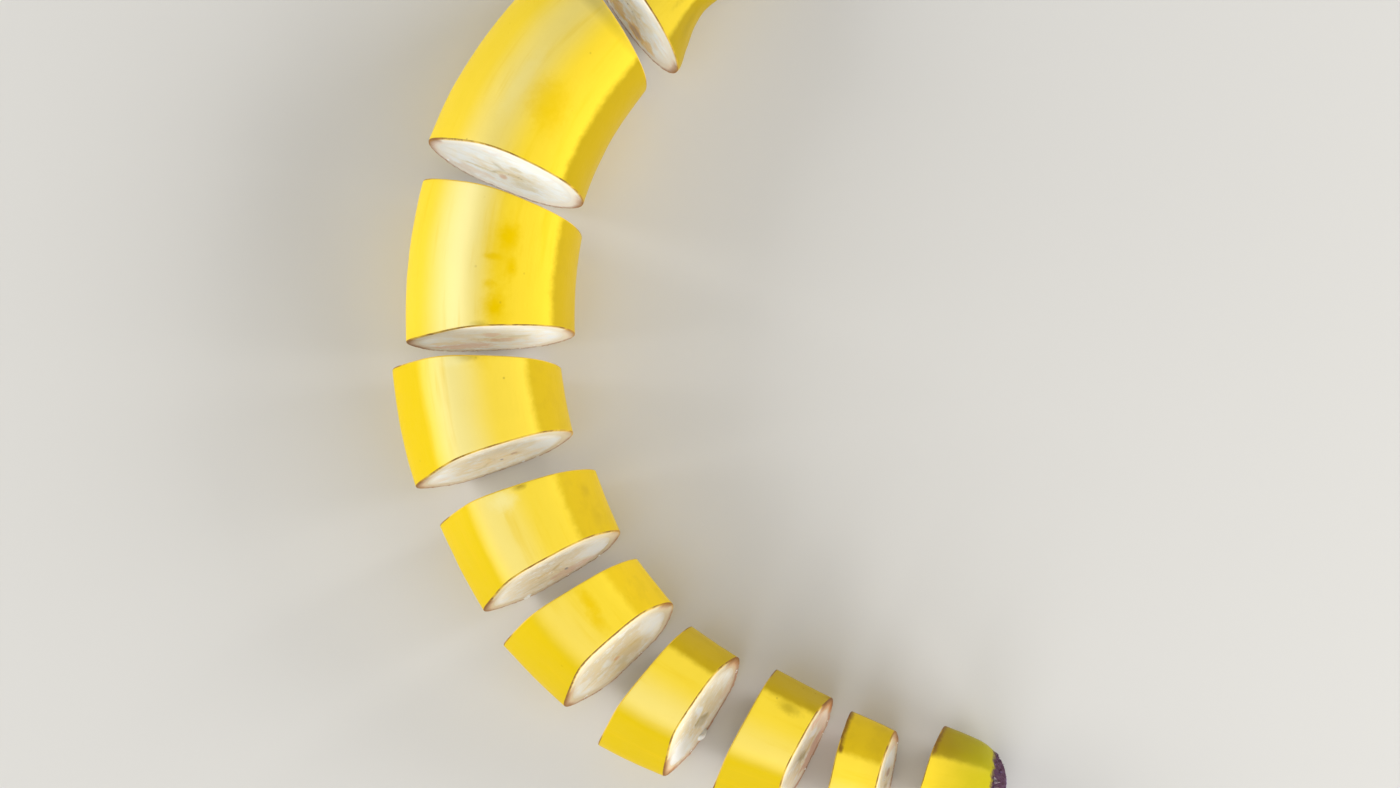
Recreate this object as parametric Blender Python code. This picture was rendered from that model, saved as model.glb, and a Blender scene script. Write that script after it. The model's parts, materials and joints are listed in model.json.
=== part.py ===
# A ripe banana in its peel, lying on its side and cut across into ten pieces that lie in a row,
# a little apart, as the knife left them. Metres, +Z up, the middle of the row's foot at the origin.
#
# One set of sizes describes the whole fruit: a middle line that bends less and less towards the
# blossom end, a half width along it, and a six-ridged section. A station is a distance along that
# line from the first cut, so the stalk has stations below zero. Each piece is the stretch between
# two knife cuts. It is laid down after the piece before it by a gap, a sideways slip and a turn.

import math
from typing import NamedTuple

import bmesh
import bpy
from mathutils import Matrix, Vector

MM = 0.001

# The fruit, in millimetres and degrees
GIRTH = (  # (station, half width)
    (-45.0, 6.9), (-41.0, 6.2), (-24.0, 6.4), (-15.0, 7.9), (-10.0, 10.3), (-5.0, 13.6),
    (0.0, 16.2), (19.0, 17.3), (52.0, 18.0), (86.0, 17.8), (120.0, 16.0), (148.0, 13.6),
    (158.0, 12.0), (166.0, 10.3), (169.0, 9.2), (171.6, 7.4), (173.6, 4.9), (174.5, 2.7),
)
BEND_AT_STALK = 0.80  # turn per millimetre of middle line at the first cut
BEND_AT_TIP = 0.14
BEND_FROM = -15.0  # the stalk is straight up to here
BEND_TO = 160.0
RIDGES = (-4.0, 72.0, 130.0, 184.0, 236.0, 300.0)  # angles from the outer curve, up over the top
RIDGE_AT_STALK = 4.5  # how hard the ridges are: 2 is round, a high number is flat-sided
RIDGE_AT_TIP = 9.0

# How it rests
SETTLE = 0.35  # the peel is pressed flat by this much where a piece rests
REST_SPAN = 0.5  # middle share of a piece's length whose foot lies level
STALK_REST = 1.5  # the stalk rests this far in from its end
STEM_HEADING = 218.0  # which way the middle line runs at the first cut, from +X

# How finely it is faceted
STEPS_PER_FACET = 7
RING_STEP = 4.0
NECK_RING_STEP = 2.8
DOME_RING_STEP = 1.3
LINE_STEP = 0.5
CUT_REACH = 12.0  # more than a slanting cut's edge strays from its middle, along the fruit
KNIFE_ROUNDS = 8  # how often a cut's crossing with the skin is bettered
SHARP_EDGE = 35.0

YELLOW = (0.90, 0.66, 0.06, 1.0)
PEEL_ROUGHNESS = 0.42
CREAM = (0.86, 0.80, 0.66, 1.0)
FLESH_ROUGHNESS = 0.55


class Piece(NamedTuple):
    name: str
    length: float
    near_cut: tuple  # the knife at the stalk side: turn about the vertical, lean towards the stalk
    far_cut: tuple
    roll: float  # turned about its own middle line
    gap: float  # how it lies after the piece before
    slip: float  # towards the inner curve
    turn: float


PIECES = (
    Piece("stem_end", 45.0, (0.0, 0.0), (-2.0, 10.0), 4.0, 0.0, 0.0, 0.0),
    Piece("slice_1", 38.0, (-8.0, 10.0), (-2.0, 10.5), 6.0, 7.0, -1.5, 5.0),
    Piece("slice_2", 28.0, (-5.5, 9.5), (0.5, 7.5), 9.0, 7.5, 2.0, 6.0),
    Piece("slice_3", 20.0, (-5.5, 8.5), (3.5, 9.0), 0.0, 6.0, -3.5, 3.0),
    Piece("slice_4", 17.5, (-2.0, 9.0), (1.5, 11.0), -5.0, 9.0, 2.5, 5.5),
    Piece("slice_5", 15.5, (-6.5, 9.0), (-1.0, 15.0), -2.0, 7.5, 0.5, 11.0),
    Piece("slice_6", 14.0, (-6.5, 8.5), (-4.0, 14.0), 2.0, 8.5, -0.5, 14.0),
    Piece("slice_7", 14.0, (-3.5, 7.0), (-5.0, 12.5), 5.0, 9.5, 1.5, 3.5),
    Piece("slice_8", 10.5, (4.0, 9.0), (2.0, 11.5), -14.0, 8.0, -1.0, 4.0),
    Piece("blossom_end", 17.0, (-4.0, 11.5), (0.0, 0.0), -9.0, 9.0, 4.0, 3.0),
)


def smooth_curve(points):
    """A function of x that runs smoothly through the points."""
    slopes = []
    for i in range(len(points)):
        x0, y0 = points[max(i - 1, 0)]
        x1, y1 = points[min(i + 1, len(points) - 1)]
        slopes.append((y1 - y0) / (x1 - x0))

    def value(x):
        x = min(max(x, points[0][0]), points[-1][0])
        i = max(k for k in range(len(points) - 1) if points[k][0] <= x)
        x0, y0 = points[i]
        x1, y1 = points[i + 1]
        span = x1 - x0
        t = (x - x0) / span
        return (
            y0 * (1 + 2 * t) * (1 - t) ** 2
            + slopes[i] * span * t * (1 - t) ** 2
            + y1 * t * t * (3 - 2 * t)
            + slopes[i + 1] * span * t * t * (t - 1)
        )

    return value


half_width = smooth_curve(GIRTH)


def heading(station):
    """How far the middle line has turned by this station, in radians."""
    bent = min(max(station, BEND_FROM), BEND_TO)
    slowing = (BEND_AT_STALK - BEND_AT_TIP) / (2 * BEND_TO)
    beyond = max(station - BEND_TO, 0.0)
    return math.radians(bent * (BEND_AT_STALK - slowing * bent) + beyond * BEND_AT_TIP)


def along(angle):
    return Vector((math.cos(angle), math.sin(angle)))


def middle_line(start, end):
    """The middle line as a function of station, from its place at the start, where it runs along +X."""
    low = start - CUT_REACH
    places = [Vector((0.0, 0.0))]
    while low + len(places) * LINE_STEP < end + CUT_REACH:
        station = low + (len(places) - 0.5) * LINE_STEP
        places.append(places[-1] + LINE_STEP * along(heading(station) - heading(start)))

    def raw(station):
        i = min(max(int((station - low) / LINE_STEP), 0), len(places) - 2)
        return places[i].lerp(places[i + 1], (station - low) / LINE_STEP - i)

    return lambda station: raw(station) - raw(start)


def facets(roll):
    """The ridge at each side of every facet, in degrees."""
    turned = [ridge + roll for ridge in RIDGES]
    return zip(turned, turned[1:] + [turned[0] + 360])


def section(angle, station, roll):
    """The section's radius at an angle, as a share of the half width: 1 on each ridge."""
    towards_tip = min(max(station / BEND_TO, 0.0), 1.0)
    hardness = RIDGE_AT_STALK + (RIDGE_AT_TIP - RIDGE_AT_STALK) * towards_tip
    total = 0.0
    for ridge, following in facets(roll):
        middle = math.radians((ridge + following) / 2)
        reach = math.cos(angle - middle) / math.cos(math.radians(following - ridge) / 2)
        total += max(reach, 0.0) ** hardness
    return (2 / total) ** (1 / hardness)


def ring_angles(roll):
    """Angles round the section, with one on every ridge."""
    return [
        math.radians(ridge + (following - ridge) * step / STEPS_PER_FACET)
        for ridge, following in facets(roll)
        for step in range(STEPS_PER_FACET)
    ]


def spine_height(piece, start, end):
    """The middle line's height above the surface: straight, with the foot level where it rests."""
    if piece.name == "stem_end":
        rests = (start + STALK_REST, end)
    else:
        spare = (1 - REST_SPAN) / 2 * piece.length
        rests = (start + spare, end - spare)
    heights = []
    for station in rests:
        foot = min(section(a, station, piece.roll) * math.sin(a) for a in ring_angles(piece.roll))
        heights.append(-foot * half_width(station))
    slope = (heights[1] - heights[0]) / (rests[1] - rests[0])
    return lambda station: heights[0] + slope * (station - rests[0]) - SETTLE


def ring_step(piece):
    if piece.name == "stem_end":
        return NECK_RING_STEP
    if piece.name == "blossom_end":
        return DOME_RING_STEP
    return RING_STEP


def close_end(shape, ring):
    """Fills a cut with a fan of flesh from its middle."""
    centre = shape.verts.new(sum((v.co for v in ring), Vector()) / len(ring))
    for corner, following in zip(ring, ring[1:] + ring[:1]):
        shape.faces.new((centre, corner, following)).material_index = 1


def piece_mesh(piece, start):
    """The stretch of fruit between the piece's cuts, its near cut's middle at 0 and its line along +X."""
    end = start + piece.length
    place = middle_line(start, end)
    height = spine_height(piece, start, end)

    def skin(station, angle):
        """A point of the peel: an angle round the section at a station."""
        inwards = along(heading(station) - heading(start) + math.pi / 2)
        radius = half_width(station) * section(angle, station, piece.roll)
        across = place(station) - radius * math.cos(angle) * inwards
        return Vector((across.x, across.y, height(station) + radius * math.sin(angle)))

    def cut_station(station, cut, angle):
        """Where a knife through the middle line at a station crosses the peel."""
        turn, lean = (math.radians(a) for a in cut)
        facing = along(heading(station) - heading(start) + turn) * math.cos(lean)
        normal = Vector((facing.x, facing.y, math.sin(lean)))
        centre = place(station).to_3d() + Vector((0, 0, height(station)))
        at = station
        for _ in range(KNIFE_ROUNDS):
            line = along(heading(at) - heading(start)).to_3d()
            at -= (skin(at, angle) - centre).dot(normal) / normal.dot(line)
        return at

    steps = math.ceil(piece.length / ring_step(piece))
    angles = ring_angles(piece.roll)
    near = [cut_station(start, piece.near_cut, a) for a in angles]
    far = [cut_station(end, piece.far_cut, a) for a in angles]
    shape = bmesh.new()
    rings = []
    for step in range(steps + 1):
        rings.append([])
        for angle, first, last in zip(angles, near, far):
            point = skin(first + (last - first) * step / steps, angle)
            point.z = max(point.z, 0.0)
            rings[-1].append(shape.verts.new(point * MM))
    for before, after in zip(rings, rings[1:]):
        for i in range(len(angles)):
            shape.faces.new((before[i - 1], before[i], after[i], after[i - 1]))
    close_end(shape, rings[0])
    close_end(shape, rings[-1])
    bmesh.ops.recalc_face_normals(shape, faces=shape.faces)
    mesh = bpy.data.meshes.new(piece.name)
    shape.to_mesh(mesh)
    shape.free()
    mesh.shade_smooth()
    mesh.set_sharp_from_angle(angle=math.radians(SHARP_EDGE))
    return mesh, place(end)


def material(name, colour, roughness):
    made = bpy.data.materials.new(name)
    made.use_nodes = True
    surface = made.node_tree.nodes["Principled BSDF"]
    surface.inputs["Base Color"].default_value = colour
    surface.inputs["Roughness"].default_value = roughness
    surface.inputs["Metallic"].default_value = 0.0
    made.diffuse_color = colour
    return made


def lay_out(collection, whole):
    """Makes each piece and lays it down after the one before it."""
    flesh = material("banana_flesh", CREAM, FLESH_ROUGHNESS)
    start = -PIECES[0].length
    ahead = math.radians(STEM_HEADING) + heading(start)
    at = Vector((0.0, 0.0))
    for piece in PIECES:
        end = start + piece.length
        mesh, reach = piece_mesh(piece, start)
        mesh.materials.append(material(f"{piece.name}_peel", YELLOW, PEEL_ROUGHNESS))
        mesh.materials.append(flesh)
        at += Matrix.Rotation(ahead, 2) @ Vector((piece.gap, piece.slip))
        ahead += math.radians(piece.turn)
        thing = bpy.data.objects.new(piece.name, mesh)
        collection.objects.link(thing)
        thing.parent = whole
        thing.location = at.to_3d() * MM
        thing.rotation_euler.z = ahead
        at += Matrix.Rotation(ahead, 2) @ reach
        ahead += heading(end) - heading(start)
        start = end


def centre_on_origin(whole):
    """Moves the whole row so that the middle of its box is over the origin."""
    bpy.context.view_layer.update()
    corners = [thing.matrix_world @ v.co for thing in whole.children for v in thing.data.vertices]
    for axis in (0, 1):
        reached = [corner[axis] for corner in corners]
        whole.location[axis] = -(min(reached) + max(reached)) / 2


def main():
    for thing in list(bpy.data.objects):
        bpy.data.objects.remove(thing, do_unlink=True)
    collection = bpy.data.collections.new("sliced_banana")
    bpy.context.scene.collection.children.link(collection)
    whole = bpy.data.objects.new("whole_fruit", None)
    collection.objects.link(whole)
    lay_out(collection, whole)
    centre_on_origin(whole)


main()
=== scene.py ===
import json
import math
from types import SimpleNamespace

import bmesh
import bpy
from mathutils import Matrix, Vector

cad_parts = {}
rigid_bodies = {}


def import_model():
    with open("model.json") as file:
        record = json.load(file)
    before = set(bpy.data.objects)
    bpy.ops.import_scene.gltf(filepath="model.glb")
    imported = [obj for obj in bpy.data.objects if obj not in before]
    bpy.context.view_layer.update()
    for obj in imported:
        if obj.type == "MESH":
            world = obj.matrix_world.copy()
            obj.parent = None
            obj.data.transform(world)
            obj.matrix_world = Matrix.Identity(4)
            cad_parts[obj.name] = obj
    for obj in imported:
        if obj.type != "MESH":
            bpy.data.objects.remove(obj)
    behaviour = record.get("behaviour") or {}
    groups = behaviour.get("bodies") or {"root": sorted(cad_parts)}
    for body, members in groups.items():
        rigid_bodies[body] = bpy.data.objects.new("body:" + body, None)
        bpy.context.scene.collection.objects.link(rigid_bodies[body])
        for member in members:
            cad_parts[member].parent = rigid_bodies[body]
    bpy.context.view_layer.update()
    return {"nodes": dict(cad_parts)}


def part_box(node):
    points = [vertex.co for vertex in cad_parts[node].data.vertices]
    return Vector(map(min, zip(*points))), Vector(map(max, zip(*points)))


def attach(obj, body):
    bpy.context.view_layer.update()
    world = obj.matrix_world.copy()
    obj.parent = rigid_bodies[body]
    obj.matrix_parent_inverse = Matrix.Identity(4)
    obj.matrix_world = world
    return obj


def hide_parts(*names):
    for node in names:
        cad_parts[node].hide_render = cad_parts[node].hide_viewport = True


for thing in list(bpy.data.objects):  # the start-up cube, lamp and camera
    bpy.data.objects.remove(thing, do_unlink=True)
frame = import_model()
print("frame loaded:", ", ".join(sorted(frame["nodes"])))

mm = 0.001

# The fruit's rule: a middle line that bends less towards the tip, a half width and a six-ridged section.
# A station is a distance along the middle line from the first cut, in mm. Angles start at the outer
# curve and run up over the top.
fruit = {
    "girth": (
        (-45, 6.9), (-41, 6.2), (-24, 6.4), (-15, 7.9), (-10, 10.3), (-5, 13.6),
        (0, 16.2), (19, 17.3), (52, 18), (86, 17.8), (120, 16), (148, 13.6),
        (158, 12), (166, 10.3), (169, 9.2), (171.6, 7.4), (173.6, 4.9), (174.5, 2.7),
    ),
    "bendAtStalk": 0.8,
    "bendAtTip": 0.14,
    "bendFrom": -15,
    "bendTo": 160,
    "ridges": (-4, 72, 130, 184, 236, 300),
    "ridgeAtStalk": 4.5,
    "ridgeAtTip": 9,
    "settle": 0.35,  # how far the peel is pressed flat where it rests
    "restSpan": 0.5,
    "restLooks": 7,  # places looked at on each facet to find the lowest
    "stalkRest": 1.5,
    "stemHeading": 218,
    "lineStep": 0.5,
    "cutReach": 12,
    "knifeRounds": 5,
    "clearance": 0.02,  # fibres and crumbs stay this far above the table
    "noCut": 99,  # how far off a cut counts that isn't there
    "pieceStride": 100,  # these two keep the patterns on one cut face apart from those on another
    "faceStride": 40,
}

# Each piece: its name and length, the knife's turn and lean at the near and at the far cut, its roll, its
# turn after the piece before, and the tone of its peel: where the deep outer band (partly painted shade)
# ends, how strong the painted highlight along the ridge is and how bright the painted shade leaves the inner
# side.
sliceFields = ("name", "length", "near", "far", "roll", "turn", "tone")
slices = [dict(zip(sliceFields, row)) for row in (
    ("stem_end", 45, (0, 0), (-2, 10), 4, 0, (30, 0.15, 0.8)),
    ("slice_1", 38, (-8, 10), (-2, 10.5), 6, 5, (28, 0.5, 0.74)),
    ("slice_2", 28, (-5.5, 9.5), (0.5, 7.5), 9, 6, (0, 0.95, 0.82)),
    ("slice_3", 20, (-5.5, 8.5), (3.5, 9), 0, 3, (50, 0.75, 0.93)),
    ("slice_4", 17.5, (-2, 9), (1.5, 11), -5, 5.5, (66, 0.5, 1)),
    ("slice_5", 15.5, (-6.5, 9), (-1, 15), -2, 11, (75, 0.2, 1.2)),
    ("slice_6", 14, (-6.5, 8.5), (-4, 14), 2, 14, (76, 0.45, 0.86)),
    ("slice_7", 14, (-3.5, 7), (-5, 12.5), 5, 3.5, (74, 0.3, 0.76)),
    ("slice_8", 10.5, (4, 9), (2, 11.5), -14, 4, (74, 0.4, 1.05)),
    ("blossom_end", 17, (-4, 11.5), (0, 0), -9, 3, (74, 0, 0.6)),
)]


# Helpers for node trees. A wire is one number or vector in a tree, so that sums read as sums.
class wire:
    def __init__(self, bench, socket):
        self.bench, self.socket = bench, socket

    def also(self, name):  # another output of the same node
        return wire(self.bench, self.socket.node.outputs[name])

    def isVector(self):
        return self.socket.type in ("VECTOR", "RGBA")

    def dot(self, other):
        given = {0: self, 1: other}
        return self.bench.add("ShaderNodeVectorMath", given, out="Value", operation="DOT_PRODUCT")

    def size(self):
        return self.bench.add("ShaderNodeVectorMath", {0: self}, out="Value", operation="LENGTH")

    def parts(self):
        node = self.bench.add("ShaderNodeSeparateXYZ", {0: self})
        return node.also("X"), node.also("Y"), node.also("Z")

    def spread(self, low, high, atLow=0, atHigh=1, kind="LINEAR"):  # clamped
        given = {"Value": self, "From Min": low, "From Max": high, "To Min": atLow, "To Max": atHigh}
        return self.bench.add("ShaderNodeMapRange", given, interpolation_type=kind)

    def soft(self, low, high, atLow=0, atHigh=1):  # the same with a gentle start and end
        return self.spread(low, high, atLow, atHigh, "SMOOTHSTEP")

    def noise(self, scale=1, detail=2, roughness=0.5):
        given = {"Vector": self, "Scale": scale, "Detail": detail, "Roughness": roughness}
        return self.bench.add("ShaderNodeTexNoise", given)


signs = {"add": "ADD", "sub": "SUBTRACT", "mul": "MULTIPLY", "truediv": "DIVIDE", "pow": "POWER"}
for sign, operation in signs.items():
    setattr(wire, f"__{sign}__", lambda a, b, how=operation: a.bench.sum(how, a, b))
    setattr(wire, f"__r{sign}__", lambda a, b, how=operation: a.bench.sum(how, b, a))


class treeBench:
    def __init__(self, tree):
        self.tree, self.count = tree, 0

    def feed(self, socket, value):
        if isinstance(value, wire):
            self.tree.links.new(value.socket, socket)
        else:
            socket.default_value = value

    def add(self, kind, inputs=(), out=0, **settings):
        node = self.tree.nodes.new(kind)
        node.location = (180 * (self.count % 24), -260 * (self.count // 24))
        self.count += 1
        for name, value in settings.items():
            setattr(node, name, value)
        for key, value in dict(inputs).items():
            self.feed(node.inputs[key], value)
        return wire(self, node.outputs[out])

    def group(self, tree, out=0, **inputs):
        return self.add("GeometryNodeGroup", inputs, out, node_tree=tree)

    def shape(self, kind, geometry, **inputs):  # a change to a geometry
        return self.add("GeometryNode" + kind, {"Geometry": geometry, **inputs})

    def sum(self, operation, first, second=None):
        if any(isinstance(v, wire) and v.isVector() for v in (first, second)):
            number = next((v for v in (first, second) if not self.looksVector(v)), None)
            if operation == "MULTIPLY" and number is not None:
                given = {"Vector": second if number is first else first, "Scale": number}
                return self.add("ShaderNodeVectorMath", given, operation="SCALE")
            return self.add("ShaderNodeVectorMath", {0: first, 1: second}, operation=operation)
        values = {0: first} if second is None else {0: first, 1: second}
        return self.add("ShaderNodeMath", values, operation=operation)

    def looksVector(self, value):
        return value.isVector() if isinstance(value, wire) else isinstance(value, (tuple, list, Vector))

    def vector(self, x=0, y=0, z=0):
        return self.add("ShaderNodeCombineXYZ", {0: x, 1: y, 2: z})

    def chance(self, low, high, seed):  # one random number for each point
        return self.add("FunctionNodeRandomValue", {2: low, 3: high, 8: seed}, out=1, data_type="FLOAT")

    def blend(self, share, low, high, how="MIX"):  # colours
        given = {0: share, 6: low, 7: high}
        return self.add("ShaderNodeMix", given, out=2, data_type="RGBA", blend_type=how)

    def dimmed(self, colour, share):
        return self.blend(1, colour, self.vector(share, share, share), "MULTIPLY")

    def attribute(self, name, kind="FLOAT"):
        if self.tree.bl_idname == "GeometryNodeTree":
            return self.add("GeometryNodeInputNamedAttribute", {"Name": name}, data_type=kind)
        out = "Vector" if kind == "FLOAT_VECTOR" else "Fac"
        return self.add("ShaderNodeAttribute", out=out, attribute_name=name, attribute_type="GEOMETRY")

    def store(self, geometry, name, value, kind="FLOAT"):
        given = {"Geometry": geometry, "Name": name, "Value": value}
        return self.add("GeometryNodeStoreNamedAttribute", given, data_type=kind)


socketKinds = {float: "NodeSocketFloat", int: "NodeSocketInt", Vector: "NodeSocketVector"}


def newTree(name, inputs, outputs):
    # inputs and outputs map a name to its starting value or to a socket kind's last word
    tree = bpy.data.node_groups.new(name, "GeometryNodeTree")
    for side, sockets in (("INPUT", inputs), ("OUTPUT", outputs)):
        for label, value in sockets.items():
            kind = "NodeSocket" + value if isinstance(value, str) else socketKinds[type(value)]
            made = tree.interface.new_socket(name=label, in_out=side, socket_type=kind)
            if not isinstance(value, str):
                made.default_value = value
    bench = treeBench(tree)
    entry = tree.nodes.new("NodeGroupInput")
    ending = tree.nodes.new("NodeGroupOutput")
    ending.is_active_output = True
    # "Line Start" becomes given.lineStart
    names = {label: label[0].lower() + label[1:].replace(" ", "") for label in inputs}
    given = SimpleNamespace(**{name: wire(bench, entry.outputs[label]) for label, name in names.items()})

    def deliver(**results):
        for label, value in results.items():
            bench.feed(ending.inputs[label], value)
        return tree

    return bench, given, deliver


def madeBy(tree, source, settings, name):
    # runs a tree over a mesh and keeps the result as a plain mesh
    thing = bpy.data.objects.new(name, source)
    bpy.context.scene.collection.objects.link(thing)
    modifier = thing.modifiers.new("shape", "NODES")
    modifier.node_group = tree
    sockets = {s.name: s.identifier for s in tree.interface.items_tree if s.in_out == "INPUT"}
    for label, value in settings.items():
        modifier[sockets[label]] = value
    graph = bpy.context.evaluated_depsgraph_get()
    result = bpy.data.meshes.new_from_object(
        thing.evaluated_get(graph), preserve_all_data_layers=True, depsgraph=graph
    )
    thing.modifiers.remove(modifier)
    thing.data = result
    result.name = name
    return thing


# The fruit's rule in plain numbers, for the middle lines and how each piece rests
def smoothCurve(points):
    slopes = []
    for i in range(len(points)):
        x0, y0 = points[max(i - 1, 0)]
        x1, y1 = points[min(i + 1, len(points) - 1)]
        slopes.append((y1 - y0) / (x1 - x0))

    def value(x):
        x = min(max(x, points[0][0]), points[-1][0])
        i = max(k for k in range(len(points) - 1) if points[k][0] <= x)
        (x0, y0), (x1, y1) = points[i], points[i + 1]
        t = (x - x0) / (x1 - x0)
        return (
            y0 * (1 + 2 * t) * (1 - t) ** 2
            + slopes[i] * (x1 - x0) * t * (1 - t) ** 2
            + y1 * t * t * (3 - 2 * t)
            + slopes[i + 1] * (x1 - x0) * t * t * (t - 1)
        )

    return value


halfWidth = smoothCurve(fruit["girth"])


def turnAt(station):  # how far the middle line has turned, in radians
    bent = min(max(station, fruit["bendFrom"]), fruit["bendTo"])
    slowing = (fruit["bendAtStalk"] - fruit["bendAtTip"]) / (2 * fruit["bendTo"])
    beyond = max(station - fruit["bendTo"], 0)
    return math.radians(bent * (fruit["bendAtStalk"] - slowing * bent) + beyond * fruit["bendAtTip"])


def along(angle):
    return Vector((math.cos(angle), math.sin(angle), 0))


def facets(roll=0):
    turned = [ridge + roll for ridge in fruit["ridges"]]
    return list(zip(turned, turned[1:] + [turned[0] + 360]))


def sectionShare(angle, station, roll):
    towardsTip = min(max(station / fruit["bendTo"], 0), 1)
    hard = fruit["ridgeAtStalk"] + (fruit["ridgeAtTip"] - fruit["ridgeAtStalk"]) * towardsTip
    total = 0
    for ridge, following in facets(roll):
        reach = math.cos(angle - math.radians((ridge + following) / 2))
        total += max(reach / math.cos(math.radians(following - ridge) / 2), 0) ** hard
    return (2 / total) ** (1 / hard)


def spineHeight(piece, start, end):  # straight, with the foot level where the piece rests
    spare = (1 - fruit["restSpan"]) / 2 * piece["length"]
    rests = (start + spare, end - spare)
    if piece["name"] == "stem_end":
        rests = (start + fruit["stalkRest"], end)
    looks, roll = fruit["restLooks"], piece["roll"]
    angles = [math.radians(a + (b - a) * k / looks) for a, b in facets(roll) for k in range(looks)]
    feet = [-halfWidth(s) * min(sectionShare(a, s, roll) * math.sin(a) for a in angles) for s in rests]
    slope = (feet[1] - feet[0]) / (rests[1] - rests[0])
    return lambda station: feet[0] + slope * (station - rests[0]) - fruit["settle"]


def middleLine(piece, start, heading):
    # a chain of points in millimetres, with the half width and height at each
    step, low = fruit["lineStep"], start - fruit["cutReach"]
    count = int((piece["length"] + 2 * fruit["cutReach"]) / step) + 1
    places = [Vector((0, 0, 0))]
    for i in range(count - 1):
        places.append(places[-1] + step * along(turnAt(low + (i + 0.5) * step) - turnAt(start) + heading))
    mesh = bpy.data.meshes.new("middle_line_" + piece["name"])
    mesh.from_pydata(places, [(i, i + 1) for i in range(count - 1)], [])
    height = spineHeight(piece, start, start + piece["length"])
    for name, rule in (("halfWidth", halfWidth), ("height", height)):
        values = [rule(low + i * step) for i in range(count)]
        mesh.attributes.new(name, "FLOAT", "POINT").data.foreach_set("value", values)
    line = bpy.data.objects.new(mesh.name, mesh)
    bpy.context.scene.collection.objects.link(line)
    return line


def knifeNormal(piece, station, start, heading, cut):
    turn, lean = (math.radians(a) for a in piece[cut])
    facing = along(turnAt(station) - turnAt(start) + heading + turn) * math.cos(lean)
    return Vector((facing.x, facing.y, math.sin(lean)))


# The trees that wrap a flat blank round the middle line
def sectionTree():
    bench, given, deliver = newTree(
        "ridgedSection", {"Angle": 0.0, "Station": 0.0, "Roll": 0.0}, {"Share": "Float"}
    )
    towardsTip = given.station.spread(0, fruit["bendTo"])
    hard = towardsTip * (fruit["ridgeAtTip"] - fruit["ridgeAtStalk"]) + fruit["ridgeAtStalk"]
    turned = given.angle - given.roll
    total = 0
    for ridge, following in facets():
        middle = math.radians((ridge + following) / 2)
        half = math.cos(math.radians(following - ridge) / 2)
        reach = bench.sum("COSINE", turned - middle) / half
        total = bench.sum("MAXIMUM", reach, 0) ** hard + total
    return deliver(Share=(2 / total) ** (1 / hard))


onLine = {"Line": "Geometry", "Station": 0.0, "Angle": 0.0, "Line Start": 0.0, "Roll": 0.0}
ofPiece = {"Middle Line": "Object", "Line Start": 0.0, "Roll": 0.0, "Seed": 0.0}
onward = Vector((1, 0, 0))


def skinTree(section):
    bench, given, deliver = newTree(
        "skinPoint", onLine, {"Point": "Vector", "Middle": "Vector", "Ahead": "Vector", "Share": "Float"}
    )
    taken = {"Curves": given.line, "Length": given.station - given.lineStart}
    wide, high = (
        bench.add("GeometryNodeSampleCurve", {**taken, "Value": bench.attribute(name)}, mode="LENGTH")
        for name in ("halfWidth", "height")
    )
    share = bench.group(section, Angle=given.angle, Station=given.station, Roll=given.roll)
    radius, ahead = wide * share, wide.also("Tangent")
    inwards = bench.add(
        "ShaderNodeVectorMath", {0: (0, 0, 1), 1: ahead}, operation="CROSS_PRODUCT"
    )
    middle = wide.also("Position") + bench.vector(z=high)
    across = inwards * (radius * bench.sum("COSINE", given.angle))
    point = middle - across + bench.vector(z=radius * bench.sum("SINE", given.angle))
    return deliver(Point=point, Middle=middle, Ahead=ahead, Share=share)


def knifeTree(skin):
    # the station where a knife through the middle line crosses the skin at an angle
    bench, given, deliver = newTree("knifeCrossing", {**onLine, "Knife": onward}, {"Crossing": "Float"})
    same = {"Line": given.line, "Line Start": given.lineStart, "Roll": given.roll}
    middle = bench.group(skin, out="Middle", Station=given.station, Angle=0, **same)
    at = given.station
    for _ in range(fruit["knifeRounds"]):
        point = bench.group(skin, Station=at, Angle=given.angle, **same)
        away = (point - middle).dot(given.knife)
        at = at - away / point.also("Ahead").dot(given.knife)
    return deliver(Crossing=at)


# What the peel and flesh are like, in millimetres
peelShape = {
    "thin": 1.7,  # on a facet
    "thick": 2.7,  # at a ridge
    "unevenness": 0.2,
    "pimples": 0.025,
    "edgeRound": 0.3,
    "endRound": 0.6,  # at the stalk's end
    "scarFrom": (170.2, 171.2),
    "stemPocket": (0.84, 0.8),  # the share of the length where the flesh stops, at its side and its middle
    "tipPocket": (0.55, 0.6),
    "around": 256,
    "step": 0.62,
}
fleshShape = {
    "edgeRound": 0.03,
    "tear": 0.35,  # how far the knife's exit drags the foot of a cut
    "faceRings": 34,
    "ripple": 0.1,
    "knifeDrag": 0.05,
    "starDepth": 0.22,
    "starReach": 7,
    "stemFrom": 0.86,
    "tipTo": 0.53,
}


def lineOf(bench, given):
    # the middle line as a curve, with what every point on it needs
    there = bench.add("GeometryNodeObjectInfo", {"Object": given.middleLine}, out="Geometry")
    line = bench.add("GeometryNodeMeshToCurve", {"Mesh": there})
    return {"Line": line, "Line Start": given.lineStart, "Roll": given.roll}


def notBelow(bench, place, lowest):
    x, y, z = place.parts()
    return bench.vector(x, y, bench.sum("MAXIMUM", z, lowest))


def scattered(bench, given, place, thing, turn, size):
    # a copy at each of so many points, in millimetres
    points = bench.add("GeometryNodePoints", {"Count": given.count, "Position": place})
    copies = {"Points": points, "Instance": thing, "Rotation": turn, "Scale": size}
    return bench.shape("RealizeInstances", bench.add("GeometryNodeInstanceOnPoints", copies))


def finished(bench, given, geometry):
    place = notBelow(bench, bench.add("GeometryNodeInputPosition"), fruit["clearance"])
    geometry = bench.shape("SetPosition", geometry, Position=place * mm)
    return bench.shape("SetMaterial", geometry, Material=given.material)


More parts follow.
